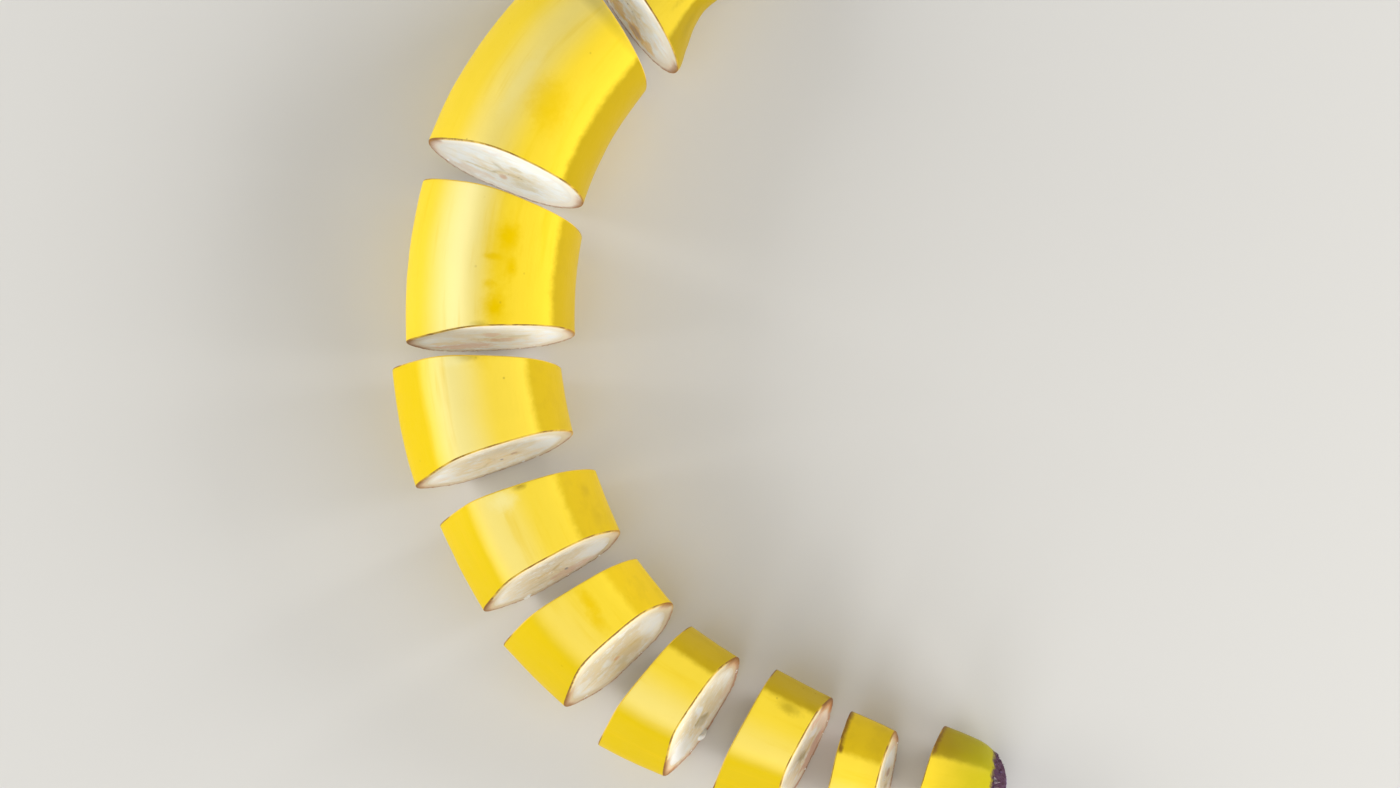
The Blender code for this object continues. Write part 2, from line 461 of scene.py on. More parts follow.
def reliefTree():
    # how far a cut face of flesh stands out at a place on it
    bench, given, deliver = newTree(
        "fleshRelief", {"Place": Vector((0, 0, 0)), "Seed": 0.0}, {"Height": "Float", "Star": "Float"}
    )
    place, seed = given.place, given.seed
    u, v, _ = place.parts()
    apart = bench.vector(z=seed * 7.3)
    wobble = (place + apart).noise(0.35, 2) - 0.5
    far = (place * (1, 1, 0)).size()
    angle = bench.sum("ARCTAN2", v, u) + wobble * 0.9 + seed
    third = 2 * math.pi / 3
    folded = bench.sum("PINGPONG", angle + third * 4, third / 2)
    aside = bench.sum("SINE", folded) * far
    ray = aside.soft(0.15, 1, 1, 0)
    within = far.soft(4, fleshShape["starReach"], 1, 0)
    heart = far.soft(0.2, 1.6, 1, 0)
    star = bench.sum("MAXIMUM", ray * within, heart * 0.8)
    ripple = (place + apart).noise(0.45, 4, 0.55) - 0.5
    drag = (place * (0.16, 1.9, 1) + apart).noise(1, 2) - 0.5
    height = ripple * (2 * fleshShape["ripple"]) + drag * (2 * fleshShape["knifeDrag"])
    return deliver(Height=height - star * fleshShape["starDepth"], Star=star)


# Each ring of a blank says how far along, how deep and how far out it lies, and how much of the face's
# relief it takes.
skinZone, cutZone, endZone = 0, 1, 2
ringFields = ("around", "share", "edgeIn", "inset", "peels", "outness", "face")


def wrapTree(skin, knife, relief):
    bench, given, deliver = newTree(
        "wrapOnFruit",
        {
            "Geometry": "Geometry", **ofPiece, "Near Station": 0.0, "Far Station": 1.0, "Near Knife": onward,
            "Far Knife": onward, "Tone": Vector((74, 0, 1)), "Near Is Cut": 1.0, "Far Is Cut": 1.0,
            "Body": "Material", "Cut": "Material", "End": "Material",
        },
        {"Geometry": "Geometry"},
    )
    same, seed, geometry = lineOf(bench, given), given.seed, given.geometry
    angle, share, edgeIn, inset, peels, out, face = (bench.attribute(n) for n in ringFields)
    nearKnife, farKnife = given.nearKnife, given.farKnife
    for name, cutAt, cutBy in (
        ("nearAt", given.nearStation, nearKnife),
        ("farAt", given.farStation, farKnife),
    ):
        crossing = bench.group(knife, Angle=angle, Station=cutAt, Knife=cutBy, **same)
        geometry = bench.store(geometry, name, crossing)
    nearAt, farAt = bench.attribute("nearAt"), bench.attribute("farAt")
    station = nearAt + (farAt - nearAt) * share + edgeIn
    between = given.nearStation + (given.farStation - given.nearStation) * share + edgeIn
    point = bench.group(skin, Station=station, Angle=angle, **same)
    centre = bench.group(skin, out="Middle", Station=between, Angle=angle, **same)
    # the skin's own unevenness
    apart = bench.vector(seed * 31, seed * 17)
    swell = (point + apart).noise(0.075, 2) - 0.5
    pimple = (point + apart).noise(0.55, 2) - 0.5
    bump = swell * (2 * peelShape["unevenness"]) + pimple * (2 * peelShape["pimples"])
    rim = point - centre
    radius = rim.size()
    # the shrivelled scar at the tip
    scarred = station.spread(*peelShape["scarFrom"]) * (1 - given.farIsCut)
    furrow = bench.sum("ABSOLUTE", (rim * 0.55 + point * 0.2).noise(1, 3, 0.6) - 0.5)
    bump = bump - scarred * (furrow.spread(0, 0.12, 0.75, 0) - 0.25)
    thickness = point.also("Share").spread(0.86, 1, peelShape["thin"], peelShape["thick"])
    reach = bench.sum("MAXIMUM", radius + bump - inset - peels * thickness, 0) * out
    placed = notBelow(bench, centre + rim * (reach / radius), inset * 0.5)
    # cut faces
    cosine, sine = bench.sum("COSINE", angle), bench.sum("SINE", angle)
    layer = share * fruit["faceStride"] + seed * fruit["pieceStride"]
    onFace = bench.vector(reach * cosine, reach * sine, layer)
    shape = bench.group(relief, Place=onFace, Seed=seed)
    isFar = bench.sum("GREATER_THAN", share, 0.5)
    outwards = farKnife * isFar - nearKnife * (1 - isFar)
    placed = placed + outwards * (shape * face)
    fromNear = station - nearAt + (1 - given.nearIsCut) * fruit["noCut"]
    fromFar = farAt - station + (1 - given.farIsCut) * fruit["noCut"]
    # the knife's exit leaves the foot of a cut ragged
    foot = sine.spread(-0.1, -0.8) * out.spread(0.6, 0.95)
    beside = bench.sum("MINIMUM", fromNear, fromFar).soft(0, 1.2, 1, 0)
    torn = onFace.noise(0.75, 3, 0.65) - 0.5
    placed = notBelow(bench, placed + outwards * (torn * foot * beside * (2 * fleshShape["tear"])), 0)
    for name, value in (("station", station), ("star", shape.also("Star") * face), ("rim", out)):
        geometry = bench.store(geometry, name, value)
    degrees = given.roll * (180 / math.pi)
    for name, value in (
        ("onFace", onFace),
        ("turned", bench.vector(cosine, sine, degrees)),
        ("edges", bench.vector(fromNear, fromFar, inset + peels * thickness)),
        ("tone", given.tone),
    ):
        geometry = bench.store(geometry, name, value, "FLOAT_VECTOR")
    geometry = bench.shape("SetPosition", geometry, Position=placed * mm)
    geometry = bench.shape("SetShadeSmooth", geometry)
    geometry = bench.shape("RealizeInstances", geometry)
    geometry = bench.shape("SetMaterial", geometry, Material=given.body)
    zone = bench.attribute("zone", "INT")
    for number, material in ((cutZone, given.cut), (endZone, given.end)):
        picked = bench.add(
            "FunctionNodeCompare", {2: zone, 3: number}, data_type="INT", operation="EQUAL"
        )
        geometry = bench.shape("SetMaterial", geometry, Selection=picked, Material=material)
    return deliver(Geometry=geometry)


# Fibres about the scar and the stalk's end. Lengths are in millimetres, angles in degrees, and depth is the
# share of the radius that the roots start from.
fringes = {
    "blossom_end": (
        {"Name": "scar_fibres", "Count": 90, "Station": 171.6, "Station Spread": 1.3, "Angle From": 0.0,
         "Angle To": 360.0, "Depth": 0.72, "Length": 0.7, "Thickness": 0.38, "Flatness": 0.6, "Lean": 0.95,
         "Seed": 3.0, "Material": "scar"},
        {"Name": "papery_fringe", "Count": 10, "Station": 171.1, "Station Spread": 0.4, "Angle From": 20.0,
         "Angle To": 200.0, "Depth": 0.95, "Length": 1.5, "Thickness": 1.2, "Flatness": 0.12, "Lean": 0.97,
         "Seed": 8.0, "Material": "papery"},
    ),
    "stem_end": (
        {"Name": "stalk_fibres", "Count": 80, "Station": -44.9, "Station Spread": 0.2, "Angle From": 0.0,
         "Angle To": 360.0, "Depth": 0.15, "Length": -0.8, "Thickness": 0.5, "Flatness": 0.7, "Lean": 0.9,
         "Seed": 5.0, "Material": "dry"},
    ),
}

# Crumbs of flesh where the knife came out of a cut, and a torn flap on two of them
crumbs = {
    "all": {"Count": 4, "Size": 0.4, "Angle From": 205.0, "Angle To": 335.0,
            "Deepest": 0.88, "Farthest": 0.94},
    "slice_4": {"Count": 1, "Size": 2.4, "Angle From": 302.0, "Angle To": 303.0,
                "Deepest": 0.87, "Farthest": 0.88},
    "slice_6": {"Count": 1, "Size": 2.4, "Angle From": 292.0, "Angle To": 293.0,
                "Deepest": 0.8, "Farthest": 0.81},
}
crumbSeed = 40.0  # the first piece's
crumbPattern = (13, 0, 777)  # the place in the flesh's pattern that crumbs take their look from


def fringeTree(skin):
    bench, given, deliver = newTree(
        "fringeAbout",
        {
            **ofPiece, "Count": 10, "Station": 0.0, "Station Spread": 0.5, "Angle From": 0.0,
            "Angle To": 360.0, "Depth": 0.9, "Length": 1.0, "Thickness": 0.3, "Flatness": 0.5, "Lean": 0.5,
            "Material": "Material",
        },
        {"Geometry": "Geometry"},
    )
    seed, lean = given.seed, given.lean
    angle = bench.chance(given.angleFrom, given.angleTo, seed) * (math.pi / 180)
    station = given.station + bench.chance(-1, 1, seed + 1) * given.stationSpread
    point = bench.group(skin, Station=station, Angle=angle, **lineOf(bench, given))
    middle = point.also("Middle")
    share = bench.chance(given.depth, 1, seed + 2)
    root = middle + (point - middle) * share
    outwards = bench.add("ShaderNodeVectorMath", {0: point - middle}, operation="NORMALIZE")
    stray = bench.vector(*(bench.chance(-0.2, 0.2, seed + k) for k in (3, 4, 5)))
    heading = outwards * ((1 - lean) * share) + point.also("Ahead") * lean + stray
    turn = bench.add("FunctionNodeAlignRotationToVector", {"Vector": heading}, axis="Z")
    twist = bench.vector(z=bench.chance(0, 6.28, seed + 6))
    turn = bench.add("FunctionNodeRotateRotation", {0: turn, 1: twist}, rotation_space="LOCAL")
    blade = bench.add("GeometryNodeMeshCone", {
        "Vertices": 5, "Side Segments": 3, "Radius Top": 0.12, "Radius Bottom": 0.5, "Depth": 1,
    })
    _, _, up = bench.add("GeometryNodeInputPosition").parts()
    blade = bench.shape("SetPosition", blade, Offset=bench.vector(x=up * up * 0.5))
    girth = given.thickness * bench.chance(0.6, 1.2, seed + 7)
    length = given.length * bench.chance(0.4, 1, seed + 8)
    size = bench.vector(girth, girth * given.flatness, length)
    return deliver(Geometry=finished(bench, given, scattered(bench, given, root, blade, turn, size)))


def crumbTree(skin, knife):
    bench, given, deliver = newTree(
        "crumbsOfFlesh",
        {
            **ofPiece, "Count": 6, "Size": 0.5, "Angle From": 200.0, "Angle To": 340.0, "Deepest": 0.85,
            "Farthest": 0.95, "Station": 0.0, "Knife": onward, "Material": "Material",
        },
        {"Geometry": "Geometry"},
    )
    same, seed, cut = lineOf(bench, given), given.seed, given.station
    angle = bench.chance(given.angleFrom, given.angleTo, seed) * (math.pi / 180)
    crossing = bench.group(knife, Angle=angle, Station=cut, Knife=given.knife, **same)
    point = bench.group(skin, Station=crossing, Angle=angle, **same)
    centre = bench.group(skin, out="Middle", Station=cut, Angle=0, **same)
    place = centre + (point - centre) * bench.chance(given.deepest, given.farthest, seed + 1)
    size = given.size * bench.chance(0.4, 1, seed + 2)
    crumb = bench.add("GeometryNodeMeshIcoSphere", {"Radius": 1, "Subdivisions": 2})
    stretched = bench.vector(size, size * bench.chance(0.4, 0.8, seed + 3), size * 0.35)
    turn = bench.add("FunctionNodeAlignRotationToVector", {"Vector": given.knife}, axis="Z")
    placed = scattered(bench, given, place, crumb, turn, stretched)
    rough = bench.add("GeometryNodeInputPosition").noise(1.6, 2) - 0.5
    push = bench.add("GeometryNodeInputNormal") * (rough * given.size * 0.5)
    placed = bench.shape("SetPosition", placed, Offset=push)
    placed = bench.store(placed, "onFace", bench.vector(*crumbPattern), "FLOAT_VECTOR")
    return deliver(Geometry=finished(bench, given, placed))


def profile(start, *legs):
    # rings of a blank; each leg: how many steps, the zone of its faces, and where it ends
    rings, zones = [start], []
    for steps, zone, goal in legs:
        before = rings[-1]
        for i in range(1, steps + 1):
            rings.append(tuple(a + (b - a) * i / steps for a, b in zip(before, goal)))
            zones.append(zone)
    return rings, zones


def roundedEdge(share, side, radius, peels, zone, faceAt, goingIn=True, steps=4):
    # a quarter round from the skin to a cut's face, or back
    legs = []
    for k in range(1, steps + 1):
        t = math.pi / 2 * (k if goingIn else steps - k) / steps
        edge, inset = side * radius * (1 - math.sin(t)), radius * (1 - math.cos(t))
        legs.append((1, zone, (share, edge, inset, peels, 1, faceAt * math.sin(t))))
    return legs


def blank(name, rings, zones):
    # a ring at 0 outness closes to a single point; otherwise the last ring joins the first
    around = peelShape["around"]
    poles = rings[0][4] == 0, rings[-1][4] == 0
    verts, faces, faceZones, rows = [], [], [], []
    marks = {n: [] for n in ringFields}
    for r, ring in enumerate(rings):
        isPole = (r == 0 and poles[0]) or (r == len(rings) - 1 and poles[1])
        rows.append([])
        for i in range(1 if isPole else around):
            angle = 2 * math.pi * i / around
            rows[-1].append(len(verts))
            verts.append((angle, r * 0.1, 0))
            for mark, value in zip(marks, (angle, *ring)):
                marks[mark].append(value)
    pairs = list(zip(rows, rows[1:], zones))
    if not poles[0]:
        pairs.append((rows[-1], rows[0], zones[-1]))
    for before, after, zone in pairs:
        for i in range(around):
            j = (i + 1) % around
            if len(before) == 1:
                faces.append((before[0], after[j], after[i]))
            elif len(after) == 1:
                faces.append((before[i], before[j], after[0]))
            else:
                faces.append((before[i], before[j], after[j], after[i]))
            faceZones.append(zone)
    mesh = bpy.data.meshes.new(name)
    mesh.from_pydata(verts, [], faces)
    for mark, values in marks.items():
        mesh.attributes.new(mark, "FLOAT", "POINT").data.foreach_set("value", values)
    mesh.attributes.new("zone", "INT", "FACE").data.foreach_set("value", faceZones)
    return mesh


def cutEnds(piece):  # whether the near and the far end are cuts
    return piece["name"] != "stem_end", piece["name"] != "blossom_end"


def peelBlank(piece):
    r, endRound = peelShape["edgeRound"], peelShape["endRound"]
    steps = max(6, round(piece["length"] / peelShape["step"]))
    hasNear, hasFar = cutEnds(piece)
    # from the pocket's wall over the near cut to the skin, and from there over the far cut into the pocket
    nearCut = (
        (2, cutZone, (0, 0.03, 0, 1, 1, 0.5)),
        (1, cutZone, (0, 0, 0, 1, 1, 0.5)),
        (1, cutZone, (0, 0, 0, 0.985, 1, 0.5)),
        (7, cutZone, (0, 0, r, 0, 1, 0.5)),
        *roundedEdge(0, 1, r, 0, cutZone, 0.5, goingIn=False),
    )
    farCut = (
        (steps, skinZone, (1, -r, 0, 0, 1, 0)),
        *roundedEdge(1, -1, r, 0, cutZone, 0.5),
        (7, cutZone, (1, 0, 0, 0.985, 1, 0.5)),
        (1, cutZone, (1, 0, 0, 1, 1, 0.5)),
        (1, cutZone, (1, -0.03, 0, 1, 1, 0.5)),
        (2, cutZone, (1, -0.5, 0, 1, 1, 0)),
    )
    if hasNear and hasFar:
        start = (0, r, 0, 0, 1, 0)
        rings, zones = profile(start, *farCut, (8, cutZone, (0, 0.5, 0, 1, 1, 0)), *nearCut)
        rings.pop()
    elif hasFar:  # the stalk, from the middle of its end
        side, middle = peelShape["stemPocket"]
        rings, zones = profile(
            (0, 0, 0, 0, 0, 1),
            (16, endZone, (0, 0, endRound, 0, 1, 1)),
            *roundedEdge(0, 1, endRound, 0, endZone, 1, goingIn=False),
            *farCut,
            (6, cutZone, (side, 0, 0, 1, 1, 0)),
            (6, cutZone, (middle, 0, 0, 1, 0, 0)),
        )
    else:  # the tip, from the middle of its pocket
        side, middle = peelShape["tipPocket"]
        rings, zones = profile(
            (middle, 0, 0, 1, 0, 0),
            (6, cutZone, (side, 0, 0, 1, 1, 0)),
            (6, cutZone, (0, 0.5, 0, 1, 1, 0)),
            *nearCut,
            (steps * 2, skinZone, (1, -0.3, 0, 0, 1, 0)),
            (3, endZone, (1, 0, 0.3, 0, 1, 0)),
            (8, endZone, (1, 0, 0, 0, 0, 0)),
        )
    return blank(piece["name"] + "_peel", rings, zones)


def fleshBlank(piece):
    r, faceRings = fleshShape["edgeRound"], fleshShape["faceRings"]
    hasNear, hasFar = cutEnds(piece)
    low = 0 if hasNear else fleshShape["stemFrom"]
    high = 1 if hasFar else fleshShape["tipTo"]
    legs = [(8, 0, (low, 0, 0, 1, 1, 0))]
    if hasNear:
        legs = [(faceRings, 0, (low, 0, r, 1, 0.995, 0.5)), (1, 0, (low, 0, r, 1, 1, 0.5))]
        legs += roundedEdge(low, 1, r, 1, 0, 0.5, goingIn=False, steps=2)
    legs.append((10, 0, (high, -r if hasFar else 0, 0, 1, 1, 0)))
    if hasFar:
        legs += roundedEdge(high, -1, r, 1, 0, 0.5, steps=2)
        legs += [(1, 0, (high, 0, r, 1, 0.995, 0.5)), (faceRings, 0, (high, 0, 0, 1, 0, 1))]
    else:
        legs.append((8, 0, (high, 0, 0, 1, 0, 0)))
    start = (low, 0, 0, 1, 0, 1 if hasNear else 0)
    return blank(piece["name"] + "_flesh", *profile(start, *legs))


# Materials. A coat is one in the making: a colour with others laid over it in turn.
class coat:
    def __init__(self, name):
        self.made = bpy.data.materials.new(name)
        self.made.use_nodes = True
        self.shader = self.made.node_tree.nodes["Principled BSDF"]
        self.bench = treeBench(self.made.node_tree)
        self.place = self.bench.add("ShaderNodeTexCoord", out="Object") * (1 / mm)

    def lay(self, look, *layers):  # from the lowest to the topmost
        for share, colour in layers:
            colour = look[colour] if isinstance(colour, str) else colour
            self.colour = self.bench.blend(share, self.colour, colour)

    def dim(self, share):
        self.colour = self.bench.dimmed(self.colour, share)

    def done(self, rough, height, depth, surface=()):
        bump = self.bench.add("ShaderNodeBump", {"Height": height, "Distance": depth, "Strength": 1})
        given = {"Base Color": self.colour, "Roughness": rough, "Normal": bump, **dict(surface)}
        for name, value in given.items():
            self.bench.feed(self.shader.inputs[name], value)
        return self.made


def tint(red, green, blue):  # 0 to 255 as seen, made linear
    parts = [c / 255 for c in (red, green, blue)]
    return tuple(c / 12.92 if c <= 0.04045 else ((c + 0.055) / 1.055) ** 2.4 for c in parts) + (1,)


skinLook = {
    # outer: the outer band's deeper yellow, partly painted shade
    "outer": tint(215, 184, 0),
    "top": tint(229, 199, 48),
    # inner: painted shade, the top's yellow darkened for the inner side
    "inner": tint(194, 163, 20),
    "under": tint(214, 181, 36),
    "deep": tint(220, 184, 0),
    # pale: a painted highlight, along the ridge and in the marks
    "pale": tint(232, 220, 150),
    "olive": tint(159, 134, 24),
    "green": tint(156, 150, 4),
    "brown": tint(104, 64, 22),
    "edge": tint(110, 72, 30),
    "scar": tint(66, 38, 62),
    "scarFrom": (169.8, 170.8),
    "roughness": 0.42,
    "surface": {"Specular IOR Level": 0.15, "Specular Tint": tint(255, 236, 60)},
    # marks: station, angle, half length, half width, finish, strength; the pale marks are painted highlights
    "marks": (
        (20.7, 100, 6, 5.2, "deep", 0.6), (24.5, 107, 5, 3.4, "deep", 0.4), (20.5, 77, 9, 2.5, "pale", 0.3),
        (44.3, 102, 3.4, 2.6, "deep", 1), (49, 93, 0.9, 2.6, "deep", 0.8), (51, 106, 3, 1.4, "deep", 0.9),
        (59.5, 96, 2.9, 2.2, "deep", 1), (54.6, 92, 1.3, 1.5, "deep", 0.7), (48, 99, 9, 3.8, "deep", 0.5),
        (60, 97, 7, 3.4, "deep", 0.5), (63.7, 87, 1.3, 2.6, "olive", 0.5), (64.4, 79, 1.4, 3, "pale", 0.6),
        (83.9, 98, 1, 1.8, "brown", 0.55), (85.6, 84, 2.6, 3, "pale", 0.7),
        (90.2, 148, 2.2, 1.8, "olive", 0.4), (97, 148, 3.8, 2.2, "olive", 0.25),
        (105.8, 105, 4.4, 1.6, "deep", 0.8), (109.8, 101, 4, 1.8, "deep", 0.7),
        (139.5, 129, 3.4, 1.8, "olive", 0.6), (145.3, 117, 0.7, 1.2, "brown", 0.8),
        (-9, 150, 6, 2, "olive", 0.5), (-16, 118, 9, 1.6, "olive", 0.5),
    ),
}


def peelSkin():
    paint, look = coat("ripe_peel"), skinLook
    bench, place = paint.bench, paint.place
    x, y, roll = bench.attribute("turned", "FLOAT_VECTOR").parts()
    # degrees from the outer curve, up over the top; the jump lies under the piece
    around = 90 - bench.sum("ARCTAN2", x, y) * (180 / math.pi)
    station = bench.attribute("station")
    bandEnd, paintedHighlight, shade = bench.attribute("tone", "FLOAT_VECTOR").parts()
    fromNear, fromFar, _ = bench.attribute("edges", "FLOAT_VECTOR").parts()
    mottle = place.noise(0.09, 3)
    ragged = place.noise(0.7, 4, 0.6)
    streak = bench.vector(around * 0.1, station * 0.035).noise(1, 3, 0.6)
    edge = around - roll + (mottle - 0.5) * 5
    # the deep outer band, partly the peel's own deeper yellow and partly painted shade, a painted highlight
    # along the ridge beside it, and painted shade on the inner side
    banded = bandEnd.spread(25, 48)
    outer = (edge - bandEnd).soft(-9, 4, 1, 0) * banded
    inner = (edge + (ragged - 0.5) * 5).soft(125.5, 133.5)
    under = edge.soft(186, 200)
    # painted highlight: a pale band that rises towards the ridge and falls away past it
    crest = bandEnd * 0.28 + 60
    rise = (edge - crest).soft(bandEnd * 0.32 - 44, 0)
    fall = (edge - crest).soft(0, 30, 1, 0)
    # painted shade: the outer band grows darker towards the tip
    outerPaintedShade = station.spread(85, 125, 1, 0.88)
    blotched = place.noise(0.26, 4, 0.6).soft(0.48, 0.66, 0, 0.14)
    paint.colour = look["top"]
    paint.lay(
        look,
        (outer, bench.dimmed(look["outer"], outerPaintedShade)),
        ((1 - outer) * banded * paintedHighlight * 0.12, "pale"),
        (rise * fall * paintedHighlight, "pale"),
        # painted shade on the inner side, darker or lighter by each piece's shade value
        (inner, bench.dimmed(look["inner"], shade)),
        (inner * blotched, "olive"),
        (under, "under"),
        (streak.soft(0.52, 0.78, 0, 0.4) * (1 - inner), "deep"),
    )
    for markStation, markAngle, halfLength, halfWidth, name, strength in look["marks"]:
        lengthwise = (station - markStation) / halfLength
        across = (around - float(markAngle)) * (0.29 / halfWidth)
        away = bench.vector(lengthwise, across).size() * 0.8 + (ragged - 0.5) * 0.8
        paint.lay(look, (away.soft(0.1, 1, 1, 0) * strength, name))
    # the two ends are duller and greener, the stalk's end brown and the scar dark
    paint.dim(station.spread(150, 160, 1, 0.8) * station.spread(1, -1, 1, 0.78))
    # lenticels and small scuffs
    cells = bench.add("ShaderNodeTexVoronoi", {"Vector": place, "Scale": 0.36}, out="Distance")
    speck = cells.spread(0.05, 0.12, 1, 0) * place.noise(0.08, 1).spread(0.6, 0.7)
    # browning where the knife went through
    line = (fromNear + (ragged - 0.5) * 1.2).soft(0.3, 1.5, 0.9, 0)
    hem = (bench.sum("ABSOLUTE", around - 177) + (ragged - 0.5) * 6).soft(1, 6, 0.75, 0)
    hemmed = station.spread(146, 148) * station.spread(157, 158, 1, 0)
    browned = place.noise(0.22, 2).spread(0.36, 0.56, 0.25, 0.8)
    paint.lay(
        look,
        ((station + mottle * 8).soft(160, 174, 0, 0.75), "green"),
        ((station + mottle * 12).soft(-8, -36, 0, 0.45), "green"),
        ((station + (streak - 0.5) * 30).soft(-28, -43), "brown"),
        ((station + (ragged - 0.5) * 2.5).soft(*look["scarFrom"]), "scar"),
        (speck * 0.4, "brown"),
        (line * station.spread(141, 145) * inner, "edge"),
        (hem * hemmed * mottle.spread(0.4, 0.55, 0.3, 1), "edge"),
        ((fromFar - ragged * 0.3).soft(0, 0.16, 1, 0) * browned, "edge"),
    )
    rough = mottle.spread(0.3, 0.7, look["roughness"] - 0.05, look["roughness"] + 0.08) + speck * 0.2
    fine = bench.vector(around * 0.5, station * 0.12).noise(1, 4, 0.6)
    grain = place.noise(1.6, 3, 0.6)
    return paint.done(rough, fine * 0.5 + grain * 0.5 - speck * 0.6, 0.00005, look["surface"])


rimLook = {
    "pith": tint(244, 240, 228),
    "cream": tint(214, 197, 152),
    "amber": tint(200, 126, 38),
    "line": tint(106, 66, 22),
    "red": tint(150, 92, 66),
    "rosy": tint(206, 160, 136),
    "yellow": tint(216, 180, 52),
}


def pithTone(bench):  # white at the stem, cream towards the tip
    share = bench.attribute("station").spread(45, 90, 0, 0.7)
    return bench.blend(share, rimLook["pith"], rimLook["cream"])


def layRim(paint, deep, lined):
    # how a cut has browned at a depth below the skin: a line at the skin, the foot and both sides; the red
    # and rosy foot is partly browning and partly painted shade
    bench = paint.bench
    x, y, _ = bench.attribute("turned", "FLOAT_VECTOR").parts()
    ragged = paint.place.noise(0.8, 4, 0.6) - 0.5
    uneven = paint.place.noise(0.13, 1) - 0.5
    station = bench.attribute("station")  # the cuts nearer the tip have browned more, but for the last
    late = station.spread(124, 146) * station.spread(148, 156, 1, 0.3)
    aside = bench.sum("ABSOLUTE", x) + ragged * 0.14 + uneven * 0.3
    sideways = (aside + late * 0.08).soft(0.9, 1)
    # the middle cuts have kept their inner end white
    middle = station.spread(50, 80) * station.spread(104, 116, 1, 0)
    clean = x.spread(0, -0.5) * middle
    sideways = sideways * (late * 0.2 + 0.8) * (1 - clean * 0.6)
    # the foot, low on the cut: real browning mixed with painted shade
    low = (y + ragged * 0.5).soft(0, -0.45)
    deep = deep + ragged * 0.8
    paint.lay(
        rimLook,
        (deep.spread(0.06, 0.3, 1, 0) * lined, "line"),
        (low * (deep - late * 1.2).soft(0.3, 1.5, 0.75, 0), "red"),
        (low * deep.spread(0.5, 5, 0.35, 0) * (late + 0.3), "rosy"),
        (sideways * (deep - late * 0.8).soft(0.3, 2.8, 0.8, 0), "amber"),
        (sideways * deep.spread(0.15, 1.7, 0.9, 0), "line"),
    )


def peelCut():
    paint = coat("cut_peel")
    bench, place = paint.bench, paint.place
    fromNear, fromFar, deep = bench.attribute("edges", "FLOAT_VECTOR").parts()
    # the brown line follows the far cuts, and the near ones only towards the tip
    lined = (fromNear - fromFar).spread(-1, 1)
    lined = bench.sum("MAXIMUM", lined, bench.attribute("station").spread(128, 142))
    lined = lined * place.noise(0.22, 2).spread(0.36, 0.56, 0.25, 0.9)
    paint.colour = rimLook["yellow"]
    paint.lay(rimLook, (deep.spread(0.1, 0.7), pithTone(bench)))
    layRim(paint, deep, lined)
    return paint.done(0.55, place.noise(1.6, 3, 0.6), 0.00008, {"Specular IOR Level": 0.3})


